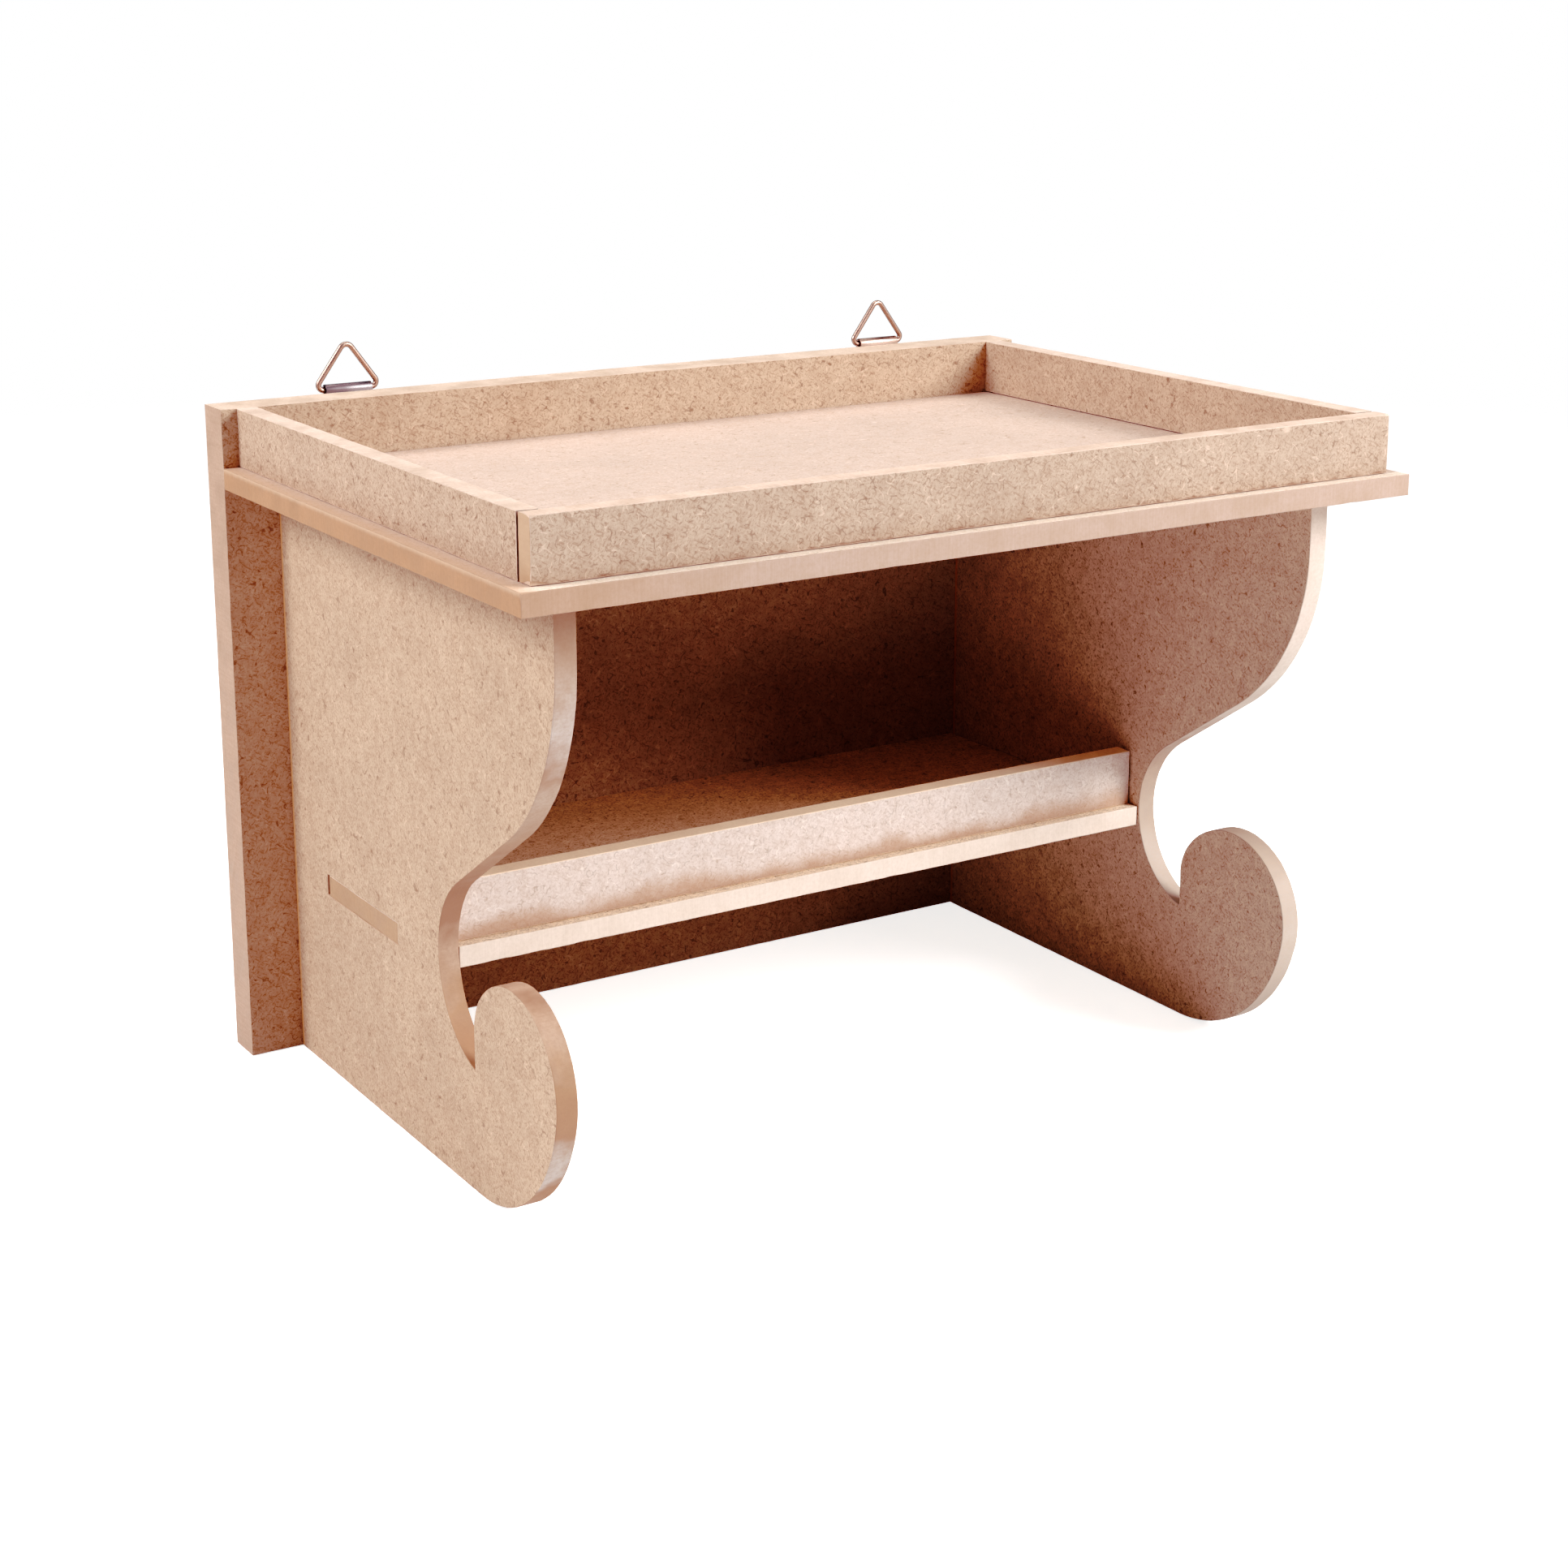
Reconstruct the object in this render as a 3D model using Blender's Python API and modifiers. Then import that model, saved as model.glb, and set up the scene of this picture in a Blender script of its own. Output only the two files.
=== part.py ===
"""Two-tier shelf in raw MDF, for a wall or a bench: a railed tray on top, a lipped shelf below it,
two scroll brackets, a thick back panel, and two triangle rings to hang it by.

Metres, +Z up, front towards -Y. X = 0 is the middle, Z = 0 the foot of the brackets, and the
origin lies at the middle of the whole object's footprint. "Reach" is a distance forward of the
wall face, which is the rear face of the back panel.
"""

import math

import bmesh
import bpy
from mathutils import Matrix, Vector

# Overall sizes
WIDTH = 0.232
DEPTH = 0.165  # wall face to the tray floor's front edge
HEIGHT = 0.1625  # foot to the tray's rim

# Boards
BOARD = 0.005
BACK_BOARD = 0.0104
GLUE_LINE = 0.0003  # gap between two glued faces

# Tray
RIM_HEIGHT = 0.014  # rails above the tray floor
RAIL_INSET_SIDE = 0.004
RAIL_INSET_FRONT = 0.0035

# Lower shelf, its lip, and the tenons through the brackets
LOWER_SHELF_TOP = 0.0511
LIP_HEIGHT = 0.014
LIP_INSET = 0.0032
LIP_END_GAP = 0.0007
TENON_SHOULDER = 0.0215  # shelf left over before and behind each tenon

# Scroll brackets, in reach and height
BRACKET_INSET = 0.0134  # panel side to a bracket's outer face
BRACKET_SETBACK = 0.0126  # tray floor's front edge to the bracket's front
BELLY_RADIUS = 0.0513
BELLY_DROP = 0.0135  # straight front edge above the belly
WAIST_RADIUS = 0.0226
WAIST_SETBACK = 0.059  # bracket's front to the waist
WAIST_MARGIN = 0.0004  # waist past the lower shelf's front edge
SCROLL_RADIUS = 0.0201
SCROLL_SETBACK = 0.0032  # bracket's front to the scroll's front
SCROLL_HEIGHT = 0.0337
HEEL_RADIUS = 0.0375
SHOULDER_RADIUS = 0.013
SHOULDER_ANGLE = math.radians(142)  # where on the scroll the tighter shoulder begins

# Ring hangers
HANGER_SPACING = 0.1572
STRAP_WIDTH = 0.0122
STRAP_SHEET = 0.0005
WIRE_RADIUS = 0.00068
EYE_CLEARANCE = 0.00025
AXIS_RISE = 0.0005  # hinge axis above the panel's top edge
RING_SLOPE = math.radians(53.8)
RING_FOOT_RADIUS = 0.0013
RING_TOP_RADIUS = 0.0017
RING_PLAY = 0.0002  # straight wire past each end of the eye
SCREW_DROP = 0.015  # hinge axis to the screw
SHANK_RADIUS = 0.0012
HEAD_RADIUS = 0.0027
HEAD_RISE = 0.0016
SCREW_LENGTH = 0.0075
SCREW_CLEARANCE = 0.0003

# Places that follow from them
FLOOR_TOP = HEIGHT - RIM_HEIGHT
FLOOR_BOTTOM = FLOOR_TOP - BOARD
BRACKET_OUTER = WIDTH / 2 - BRACKET_INSET
BRACKET_INNER = BRACKET_OUTER - BOARD
BRACKET_TOP = FLOOR_BOTTOM - GLUE_LINE
BRACKET_REACH = DEPTH - BRACKET_SETBACK
WAIST_REACH = BRACKET_REACH - WAIST_SETBACK
SHELF_REACH = WAIST_REACH - WAIST_MARGIN
PANEL_FRONT = BACK_BOARD + GLUE_LINE  # where the boards butt against the panel
TENON_START = PANEL_FRONT + TENON_SHOULDER
TENON_END = SHELF_REACH - TENON_SHOULDER
EYE_INNER = WIRE_RADIUS + EYE_CLEARANCE
EYE_OUTER = EYE_INNER + STRAP_SHEET
STRAP_THICK = 2 * STRAP_SHEET  # the strip is folded double round the wire
AXIS_REACH = -GLUE_LINE - EYE_OUTER
AXIS_HEIGHT = HEIGHT + AXIS_RISE
HANGER_PROUD = GLUE_LINE + 2 * EYE_OUTER
WALL_Y = (DEPTH - HANGER_PROUD) / 2

ARC_STEPS = 20
SMOOTH_ANGLE = math.radians(35)
CUT_PAST = 0.001  # how far a cutter runs past the faces it cuts


def clear_scene():
    for obj in list(bpy.data.objects):
        bpy.data.objects.remove(obj, do_unlink=True)


def new_collection(name):
    collection = bpy.data.collections.new(name)
    bpy.context.scene.collection.children.link(collection)
    return collection


def new_material(name, colour, roughness, metallic=0.0):
    material = bpy.data.materials.new(name)
    material.use_nodes = True
    shader = material.node_tree.nodes["Principled BSDF"]
    shader.inputs["Base Color"].default_value = (*colour, 1.0)
    shader.inputs["Roughness"].default_value = roughness
    shader.inputs["Metallic"].default_value = metallic
    return material


def place(x, reach, height):
    return Vector((x, WALL_Y - reach, height))


def add_object(name, data, collection, material=None):
    obj = bpy.data.objects.new(name, data)
    collection.objects.link(obj)
    if material:
        obj.data.materials.append(material)
    return obj


def board(name, x_range, reach_range, height_range, collection, material=None):
    """A flat board between two values on each axis, with its origin at its middle."""
    low = place(x_range[0], reach_range[1], height_range[0])
    high = place(x_range[1], reach_range[0], height_range[1])
    mesh = bpy.data.meshes.new(name)
    cube = bmesh.new()
    bmesh.ops.create_cube(cube, size=1.0)
    bmesh.ops.scale(cube, vec=high - low, verts=cube.verts)
    cube.to_mesh(mesh)
    cube.free()
    obj = add_object(name, mesh, collection, material)
    obj.location = (low + high) / 2
    return obj


def arc(centre, radius, start, end, steps=ARC_STEPS):
    """Points along an arc, both ends included; angles in radians, anticlockwise if end > start."""
    turns = (start + (end - start) * i / steps for i in range(steps + 1))
    return [centre + radius * Vector((math.cos(t), math.sin(t))) for t in turns]


def filled_curve(name, outlines, thickness):
    """A 2D curve of closed outlines, filled and extruded to a thickness about its own plane."""
    curve = bpy.data.curves.new(name, "CURVE")
    curve.dimensions = "2D"
    curve.fill_mode = "BOTH"
    curve.extrude = thickness / 2
    for outline in outlines:
        spline = curve.splines.new("POLY")
        spline.points.add(len(outline) - 1)
        for point, at in zip(spline.points, outline):
            point.co = (at[0], at[1], 0.0, 1.0)
        spline.use_cyclic_u = True
    return curve


def side_frame(x):
    """Turns a curve's plane so that its x is reach and its y is height, in the plane X = x."""
    turn = Matrix(((0, 0, -1), (-1, 0, 0), (0, 1, 0))).to_4x4()
    return Matrix.Translation((x, WALL_Y, 0)) @ turn


def mesh_from_curve(name, curve, matrix, collection, material=None):
    """The curve as a welded mesh object, so that it can be cut."""
    holder = bpy.data.objects.new(name + "_outline", curve)
    bpy.context.scene.collection.objects.link(holder)
    graph = bpy.context.evaluated_depsgraph_get()
    mesh = bpy.data.meshes.new_from_object(holder.evaluated_get(graph))
    bpy.data.objects.remove(holder, do_unlink=True)
    weld = bmesh.new()
    weld.from_mesh(mesh)
    bmesh.ops.remove_doubles(weld, verts=weld.verts, dist=1e-6)
    bmesh.ops.recalc_face_normals(weld, faces=weld.faces)
    weld.to_mesh(mesh)
    weld.free()
    mesh.name = name
    mesh.materials.clear()
    obj = add_object(name, mesh, collection, material)
    obj.matrix_world = matrix
    return obj


def boolean(target, tool, operation):
    modifier = target.modifiers.new(tool.name, "BOOLEAN")
    modifier.operation = operation
    modifier.solver = "EXACT"
    modifier.object = tool
    tool.hide_render = True
    tool.display_type = "WIRE"


def rod(name, radius, start, end, collection, sides=32):
    """A round bar between two points, for cutting or joining."""
    mesh = bpy.data.meshes.new(name)
    bar = bmesh.new()
    length = (end - start).length
    bmesh.ops.create_cone(
        bar, cap_ends=True, segments=sides, radius1=radius, radius2=radius, depth=length
    )
    bar.to_mesh(mesh)
    bar.free()
    obj = add_object(name, mesh, collection)
    turn = (end - start).to_track_quat("Z", "Y").to_matrix().to_4x4()
    obj.matrix_world = Matrix.Translation((start + end) / 2) @ turn
    return obj


def smooth(obj):
    obj.data.shade_smooth()
    obj.data.set_sharp_from_angle(angle=SMOOTH_ANGLE)


def belly_and_waist():
    """The S-shaped front edge: waist arc, straight run, belly arc. It runs from notch to top."""
    waist = Vector((WAIST_REACH + WAIST_RADIUS, LOWER_SHELF_TOP))
    belly_height = BRACKET_TOP - BELLY_DROP
    across = BRACKET_REACH - waist.x
    up = belly_height - waist.y
    # The largest belly that still leaves room for the waist under it
    touching = (across**2 + up**2 - WAIST_RADIUS**2) / (2 * (across + WAIST_RADIUS))
    radius = min(BELLY_RADIUS, touching)
    belly = Vector((BRACKET_REACH - radius, belly_height))
    between = belly - waist
    run = math.atan2(between.y, between.x) - math.asin(
        min(1.0, (radius + WAIST_RADIUS) / between.length)
    )
    notch = scroll_shoulder().x - shoulder_radius()
    notch_turn = math.acos((notch - waist.x) / WAIST_RADIUS)
    waist_arc = arc(waist, WAIST_RADIUS, 2 * math.pi - notch_turn, run + math.pi / 2)
    belly_arc = arc(belly, radius, run - math.pi / 2, 0.0)
    return waist_arc + belly_arc


def scroll_centre():
    return Vector((BRACKET_REACH - SCROLL_SETBACK - SCROLL_RADIUS, SCROLL_HEIGHT))


def shoulder_radius():
    return min(SHOULDER_RADIUS, 0.9 * SCROLL_RADIUS)


def scroll_shoulder():
    """Centre of the shoulder arc, which runs inside the scroll's circle and into the notch."""
    inward = SCROLL_RADIUS - shoulder_radius()
    turn = Vector((math.cos(SHOULDER_ANGLE), math.sin(SHOULDER_ANGLE)))
    return scroll_centre() + inward * turn


def scroll():
    """The foot: heel arc off the base line, round front, and shoulder into the notch."""
    centre = scroll_centre()
    rise = HEEL_RADIUS - centre.y
    heel = Vector((centre.x - math.sqrt((HEEL_RADIUS - SCROLL_RADIUS) ** 2 - rise**2), HEEL_RADIUS))
    meet = math.atan2(centre.y - heel.y, centre.x - heel.x)
    heel_arc = arc(heel, HEEL_RADIUS, -math.pi / 2, meet)
    front_arc = arc(centre, SCROLL_RADIUS, meet, SHOULDER_ANGLE)
    shoulder_arc = arc(scroll_shoulder(), shoulder_radius(), SHOULDER_ANGLE, math.pi)
    return heel_arc + front_arc[1:] + shoulder_arc[1:]


def bracket(name, side, collection, cutters, material):
    """A 5 mm scroll bracket with the mortise for the lower shelf's tenon."""
    outline = [Vector((PANEL_FRONT, 0.0))]
    outline += scroll()
    outline += belly_and_waist()
    outline += [Vector((BRACKET_REACH, BRACKET_TOP)), Vector((PANEL_FRONT, BRACKET_TOP))]
    curve = filled_curve(name, [outline], BOARD)
    middle = side * (BRACKET_INNER + BOARD / 2)
    obj = mesh_from_curve(name, curve, side_frame(middle), collection, material)
    mortise = board(
        name + "_mortise",
        (middle - BOARD / 2 - CUT_PAST, middle + BOARD / 2 + CUT_PAST),
        (TENON_START - GLUE_LINE, TENON_END + GLUE_LINE),
        (LOWER_SHELF_TOP - BOARD - GLUE_LINE, LOWER_SHELF_TOP + GLUE_LINE),
        cutters,
    )
    boolean(obj, mortise, "DIFFERENCE")
    smooth(obj)
    return obj


def lower_shelf(collection, material):
    """Cut in one piece from a board: a panel between the brackets with a tenon at each end."""
    half = BRACKET_INNER - GLUE_LINE
    tip = BRACKET_OUTER
    ends = [(half, PANEL_FRONT), (half, TENON_START), (tip, TENON_START), (tip, TENON_END)]
    ends += [(half, TENON_END), (half, SHELF_REACH)]
    outline = [Vector((x, -reach)) for x, reach in ends]
    outline += [Vector((-x, -reach)) for x, reach in reversed(ends)]
    curve = filled_curve("lower_shelf", [outline], BOARD)
    middle = Matrix.Translation((0, WALL_Y, LOWER_SHELF_TOP - BOARD / 2))
    return mesh_from_curve("lower_shelf", curve, middle, collection, material)


def back_panel(collection, cutters, material):
    """The thick panel that everything is glued to, with a pilot hole for each hanger's screw."""
    half = WIDTH / 2
    panel = board("back_panel", (-half, half), (0, BACK_BOARD), (0, HEIGHT), collection, material)
    height = AXIS_HEIGHT - SCREW_DROP
    depth = SCREW_LENGTH - STRAP_THICK + SCREW_CLEARANCE
    for side in (-1, 1):
        x = side * HANGER_SPACING / 2
        mouth = place(x, -CUT_PAST, height)
        hole = rod(
            f"pilot_hole_{'left' if side < 0 else 'right'}",
            SHANK_RADIUS + SCREW_CLEARANCE,
            mouth,
            place(x, depth, height),
            cutters,
        )
        boolean(panel, hole, "DIFFERENCE")
    return panel


def tray(collection, wood):
    """Tray floor, with side rails butted between the back panel and the full-width front rail."""
    half = WIDTH / 2
    outer = half - RAIL_INSET_SIDE
    front = DEPTH - RAIL_INSET_FRONT
    rim = (FLOOR_TOP + GLUE_LINE, HEIGHT)
    floor = (FLOOR_BOTTOM, FLOOR_TOP)
    board("top_shelf", (-half, half), (PANEL_FRONT, DEPTH), floor, collection, wood)
    side_reach = (PANEL_FRONT, front - BOARD - GLUE_LINE)
    board("tray_left_rail", (-outer, BOARD - outer), side_reach, rim, collection, wood)
    board("tray_right_rail", (outer - BOARD, outer), side_reach, rim, collection, wood)
    board("tray_front_rail", (-outer, outer), (front - BOARD, front), rim, collection, wood)


def lower_lip(collection, wood):
    half = BRACKET_INNER - LIP_END_GAP
    front = SHELF_REACH - LIP_INSET
    foot = LOWER_SHELF_TOP + GLUE_LINE
    rim = (foot, foot + LIP_HEIGHT)
    board("lower_lip", (-half, half), (front - BOARD, front), rim, collection, wood)


def hanger_strap(name, x, collection, cutters, steel):
    """A strip folded double round the ring's foot wire, flat on the panel, with a round end."""
    half = STRAP_WIDTH / 2
    drop = -SCREW_DROP
    outline = [Vector((half, 0.0))]
    outline += [Vector((-half, 0.0))]
    outline += arc(Vector((0.0, drop)), half, math.pi, 2 * math.pi)
    curve = filled_curve(name, [outline], STRAP_THICK)
    turn = Matrix(((1, 0, 0), (0, 0, -1), (0, 1, 0))).to_4x4()
    middle = Matrix.Translation(place(x, -GLUE_LINE - STRAP_THICK / 2, AXIS_HEIGHT)) @ turn
    strap = mesh_from_curve(name, curve, middle, collection, steel)
    left = place(x - half, AXIS_REACH, AXIS_HEIGHT)
    right = place(x + half, AXIS_REACH, AXIS_HEIGHT)
    past = Vector((CUT_PAST, 0, 0))
    boolean(strap, rod(name + "_curl", EYE_OUTER, left, right, cutters), "UNION")
    bore = rod(name + "_eye", EYE_INNER, left - past, right + past, cutters)
    boolean(strap, bore, "DIFFERENCE")
    screw_height = AXIS_HEIGHT - SCREW_DROP
    hole = rod(
        name + "_screw_hole",
        SHANK_RADIUS + SCREW_CLEARANCE,
        place(x, -GLUE_LINE - STRAP_THICK - CUT_PAST, screw_height),
        place(x, CUT_PAST, screw_height),
        cutters,
    )
    boolean(strap, hole, "DIFFERENCE")
    smooth(strap)


def rounded_corner(before, corner, after, radius, steps=8):
    """Points that round one corner of a path with an arc of the given radius."""
    to_before = (before - corner).normalized()
    to_after = (after - corner).normalized()
    half_turn = to_before.angle(to_after) / 2
    centre = corner + (to_before + to_after).normalized() * radius / math.sin(half_turn)
    start = corner + to_before * radius / math.tan(half_turn) - centre
    end = corner + to_after * radius / math.tan(half_turn) - centre
    sweep = start.angle_signed(end)
    return [centre + Matrix.Rotation(-sweep * i / steps, 2) @ start for i in range(steps + 1)]


def hanger_ring(name, x, collection, steel):
    """A closed wire triangle whose foot turns in the strap's eye; its origin is on that axis."""
    foot_run = STRAP_WIDTH / 2 + RING_PLAY
    half = foot_run + RING_FOOT_RADIUS / math.tan(RING_SLOPE / 2)
    left = Vector((-half, 0.0))
    right = Vector((half, 0.0))
    top = Vector((0.0, half * math.tan(RING_SLOPE)))
    path = rounded_corner(top, left, right, RING_FOOT_RADIUS)
    path += rounded_corner(left, right, top, RING_FOOT_RADIUS)
    path += rounded_corner(right, top, left, RING_TOP_RADIUS)
    curve = bpy.data.curves.new(name, "CURVE")
    curve.dimensions = "3D"
    curve.bevel_depth = WIRE_RADIUS
    curve.bevel_resolution = 2
    spline = curve.splines.new("POLY")
    spline.points.add(len(path) - 1)
    for point, at in zip(spline.points, path):
        point.co = (at.x, 0.0, at.y, 1.0)
    spline.use_cyclic_u = True
    ring = add_object(name, curve, collection, steel)
    ring.location = place(x, AXIS_REACH, AXIS_HEIGHT)


def hanger_screw(name, x, collection, steel):
    """A small dome-head screw through the strap into the panel, turned about its own axis."""
    head_foot = GLUE_LINE + STRAP_THICK + SCREW_CLEARANCE
    dome = [
        (HEAD_RADIUS * math.sin(turn), HEAD_RISE * math.cos(turn))
        for turn in (math.pi / 2 * i / 8 for i in range(9))
    ]
    tip = -SCREW_LENGTH
    profile = dome + [(SHANK_RADIUS, 0.0), (SHANK_RADIUS, tip + 2 * SHANK_RADIUS), (0.0, tip)]
    mesh = bpy.data.meshes.new(name)
    line = bmesh.new()
    verts = [line.verts.new((px, 0.0, pz)) for px, pz in profile]
    for first, second in zip(verts, verts[1:]):
        line.edges.new((first, second))
    line.to_mesh(mesh)
    line.free()
    screw = add_object(name, mesh, collection, steel)
    turned = screw.modifiers.new("turned", "SCREW")
    turned.steps = 24
    turned.render_steps = 24
    turned.use_merge_vertices = True
    turned.merge_threshold = 1e-5
    screw.location = place(x, -head_foot, AXIS_HEIGHT - SCREW_DROP)
    screw.rotation_euler = (-math.pi / 2, 0, 0)


def build():
    clear_scene()
    parts = new_collection("scroll_wall_shelf")
    cutters = new_collection("cutters")
    wood = new_material("mdf", (0.62, 0.44, 0.31), 0.8)
    steel = new_material("hanger_steel", (0.55, 0.42, 0.36), 0.3, 1.0)
    back_panel(parts, cutters, wood)
    for word, side in (("left", -1), ("right", 1)):
        x = side * HANGER_SPACING / 2
        bracket(f"{word}_bracket", side, parts, cutters, wood)
        hanger_strap(f"{word}_hanger_strap", x, parts, cutters, steel)
        hanger_ring(f"{word}_hanger_ring", x, parts, steel)
        hanger_screw(f"{word}_hanger_screw", x, parts, steel)
    tray(parts, wood)
    lower_shelf(parts, wood)
    lower_lip(parts, wood)


build()
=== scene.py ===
"""Looks for a two-tier scroll-bracket shelf in raw MDF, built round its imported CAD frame.

Metres. +X is the shelf's right seen from the front, +Y runs back to the wall, +Z is up.
"""

import math

import bmesh
import bpy
from mathutils import Matrix, Vector, noise


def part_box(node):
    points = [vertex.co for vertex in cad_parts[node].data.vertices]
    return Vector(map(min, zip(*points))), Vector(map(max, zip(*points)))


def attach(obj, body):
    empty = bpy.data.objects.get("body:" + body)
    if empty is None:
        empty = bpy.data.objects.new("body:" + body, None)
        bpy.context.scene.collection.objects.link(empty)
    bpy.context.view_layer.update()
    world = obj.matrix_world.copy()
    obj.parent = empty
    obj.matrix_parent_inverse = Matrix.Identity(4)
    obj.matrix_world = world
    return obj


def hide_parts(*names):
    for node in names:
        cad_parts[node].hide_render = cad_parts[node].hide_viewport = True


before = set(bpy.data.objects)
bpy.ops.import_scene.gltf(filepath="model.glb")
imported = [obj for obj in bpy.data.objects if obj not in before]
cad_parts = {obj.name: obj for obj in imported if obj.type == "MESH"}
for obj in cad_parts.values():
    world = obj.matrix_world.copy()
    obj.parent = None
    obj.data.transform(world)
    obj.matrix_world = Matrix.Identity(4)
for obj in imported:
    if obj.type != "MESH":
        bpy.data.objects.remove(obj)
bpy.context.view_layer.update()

# Camera: a short telephoto from the front left, a little above the tray. Its small shift keeps
# the uprights near to upright. It isn't part of the object.
camera = bpy.data.objects.new("camera", bpy.data.cameras.new("camera"))
bpy.context.scene.collection.objects.link(camera)
bpy.context.scene.camera = camera
camera.data.lens = 62.025
camera.data.shift_y = -0.0999
azimuth = math.radians(-32.285)
elevation = math.radians(13.755)
towards_camera = Vector(
    (
        math.sin(azimuth) * math.cos(elevation),
        -math.cos(azimuth) * math.cos(elevation),
        math.sin(elevation),
    )
)
camera.location = (-0.3399, -0.5318, 0.26386)
camera.rotation_mode = "QUATERNION"
camera.rotation_quaternion = (-towards_camera).to_track_quat("-Z", "Y")


# Studio: a pale floor that fades into a white surround, a large softbox at the front right,
# another square to the left side, and a weaker one overhead. It isn't part of the object.
def node(tree, kind, inputs=None, **settings):
    """A shader node; an input is a plain value, or another node's output."""
    made = tree.nodes.new("ShaderNode" + kind)
    for name, value in settings.items():
        setattr(made, name, value)
    for name, value in (inputs or {}).items():
        if isinstance(value, bpy.types.NodeSocket):
            tree.links.new(value, made.inputs[name])
        else:
            made.inputs[name].default_value = value
    return made


def softbox(name, at, width, height, power, colour=(1, 1, 1), aim=(0, 0, 0.09)):
    lamp = bpy.data.lights.new(name, "AREA")
    lamp.shape = "RECTANGLE"
    lamp.size = width
    lamp.size_y = height
    lamp.energy = power
    lamp.color = colour
    holder = bpy.data.objects.new(name, lamp)
    bpy.context.scene.collection.objects.link(holder)
    holder.location = at
    holder.rotation_mode = "QUATERNION"
    holder.rotation_quaternion = (Vector(aim) - Vector(at)).to_track_quat("-Z", "Y")


softbox("key_softbox", (0.6, -0.72, 0.64), 0.5, 0.5, 14.6, (1, 1.02, 1.07))
softbox("side_softbox", (-0.95, 0.2, 0.75), 0.5, 0.5, 12.7, (1, 1, 1.05))
softbox("overhead_softbox", (0.05, 0.25, 1.15), 0.8, 0.8, 5.0)

surround = bpy.data.worlds.new("white_surround")
bpy.context.scene.world = surround
surround.use_nodes = True
sky = surround.node_tree
sky.nodes.clear()
seen = node(sky, "Background", {"Color": (1, 1, 1, 1), "Strength": 1.0})
fill = node(sky, "Background", {"Color": (1, 0.98, 0.95, 1), "Strength": 0.13})
by_ray = node(sky, "LightPath").outputs["Is Camera Ray"]
either = node(sky, "MixShader", {0: by_ray, 1: fill.outputs[0], 2: seen.outputs[0]})
node(sky, "OutputWorld", {"Surface": either.outputs[0]})

FLOOR_RADIUS = 1.15
FLOOR_DROP = 0.0002  # keeps the floor a hair below the feet
FADE_FROM = 0.3
FADE_TO = 1.1
PAPER_WHITE = 0.93
PAPER_GLOW = 0.75  # what the camera sees on top of the light that falls on it
disc = bmesh.new()
bmesh.ops.create_circle(disc, cap_ends=True, radius=FLOOR_RADIUS, segments=96)
bmesh.ops.translate(disc, vec=(0, 0, -FLOOR_DROP), verts=disc.verts)
floor_mesh = bpy.data.meshes.new("floor")
disc.to_mesh(floor_mesh)
disc.free()
floor = bpy.data.objects.new("floor", floor_mesh)
bpy.context.scene.collection.objects.link(floor)
paper = bpy.data.materials.new("white_paper")
paper.use_nodes = True
sheet = paper.node_tree
sheet.nodes.clear()
where = node(sheet, "TexCoord").outputs["Object"]
reach = node(sheet, "VectorMath", {0: where}, operation="LENGTH").outputs["Value"]
fade = node(sheet, "MapRange", {"Value": reach, "From Min": FADE_FROM, "From Max": FADE_TO})
matt = node(sheet, "BsdfDiffuse", {"Color": (PAPER_WHITE, PAPER_WHITE, PAPER_WHITE, 1)})
seen_glow = node(
    sheet, "Math", {0: node(sheet, "LightPath").outputs["Is Camera Ray"], 1: PAPER_GLOW},
    operation="MULTIPLY",
)
glow = node(sheet, "Emission", {"Strength": seen_glow.outputs[0]})
lifted = node(sheet, "AddShader", {0: matt.outputs[0], 1: glow.outputs[0]})
clear = node(sheet, "BsdfTransparent")
faded = node(sheet, "MixShader", {0: fade.outputs[0], 1: lifted.outputs[0], 2: clear.outputs[0]})
node(sheet, "OutputMaterial", {"Surface": faded.outputs[0]})
floor_mesh.materials.append(paper)

# Tone: full contrast, with shadows that fall off sooner in green and blue.
view = bpy.context.scene.view_settings
view.view_transform = "Standard"
view.use_curve_mapping = True
TONE = (
    ((0.06, 0.015), (0.10, 0.045), (0.14, 0.10), (0.24, 0.28), (0.38, 0.41), (0.55, 0.56)),
    ((0.03, 0.003), (0.05, 0.008), (0.084, 0.025), (0.111, 0.057), (0.16, 0.123), (0.3, 0.3)),
    ((0.02, 0.002), (0.045, 0.007), (0.0625, 0.014), (0.08, 0.034), (0.11, 0.08), (0.2, 0.2)),
)
view.curve_mapping.extend = "EXTRAPOLATED"
for curve, knots in zip(view.curve_mapping.curves, TONE):
    for level, shown in knots:
        curve.points.new(level, shown)
view.curve_mapping.update()


# Back panel: one thick MDF board on edge that everything is glued to, sawn to size, its faces
# left as they came from the press and its cut edges sanded by hand.
X, Y, Z = range(3)


def fibres(tree, where, turn, pitch, floor_level, stretch=7.0):
    """Short straight fibres lying one way: 0 between them, 1 on them."""
    laid = node(
        tree,
        "Mapping",
        {"Vector": where, "Rotation": turn, "Scale": (stretch, 1, 1)},
        vector_type="TEXTURE",
    )
    hairs = node(
        tree, "TexNoise", {"Vector": laid.outputs[0], "Scale": pitch, "Detail": 1.0}
    )
    return node(
        tree,
        "MapRange",
        {"Value": hairs.outputs[0], "From Min": floor_level, "From Max": floor_level + 0.06},
    ).outputs[0]


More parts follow.
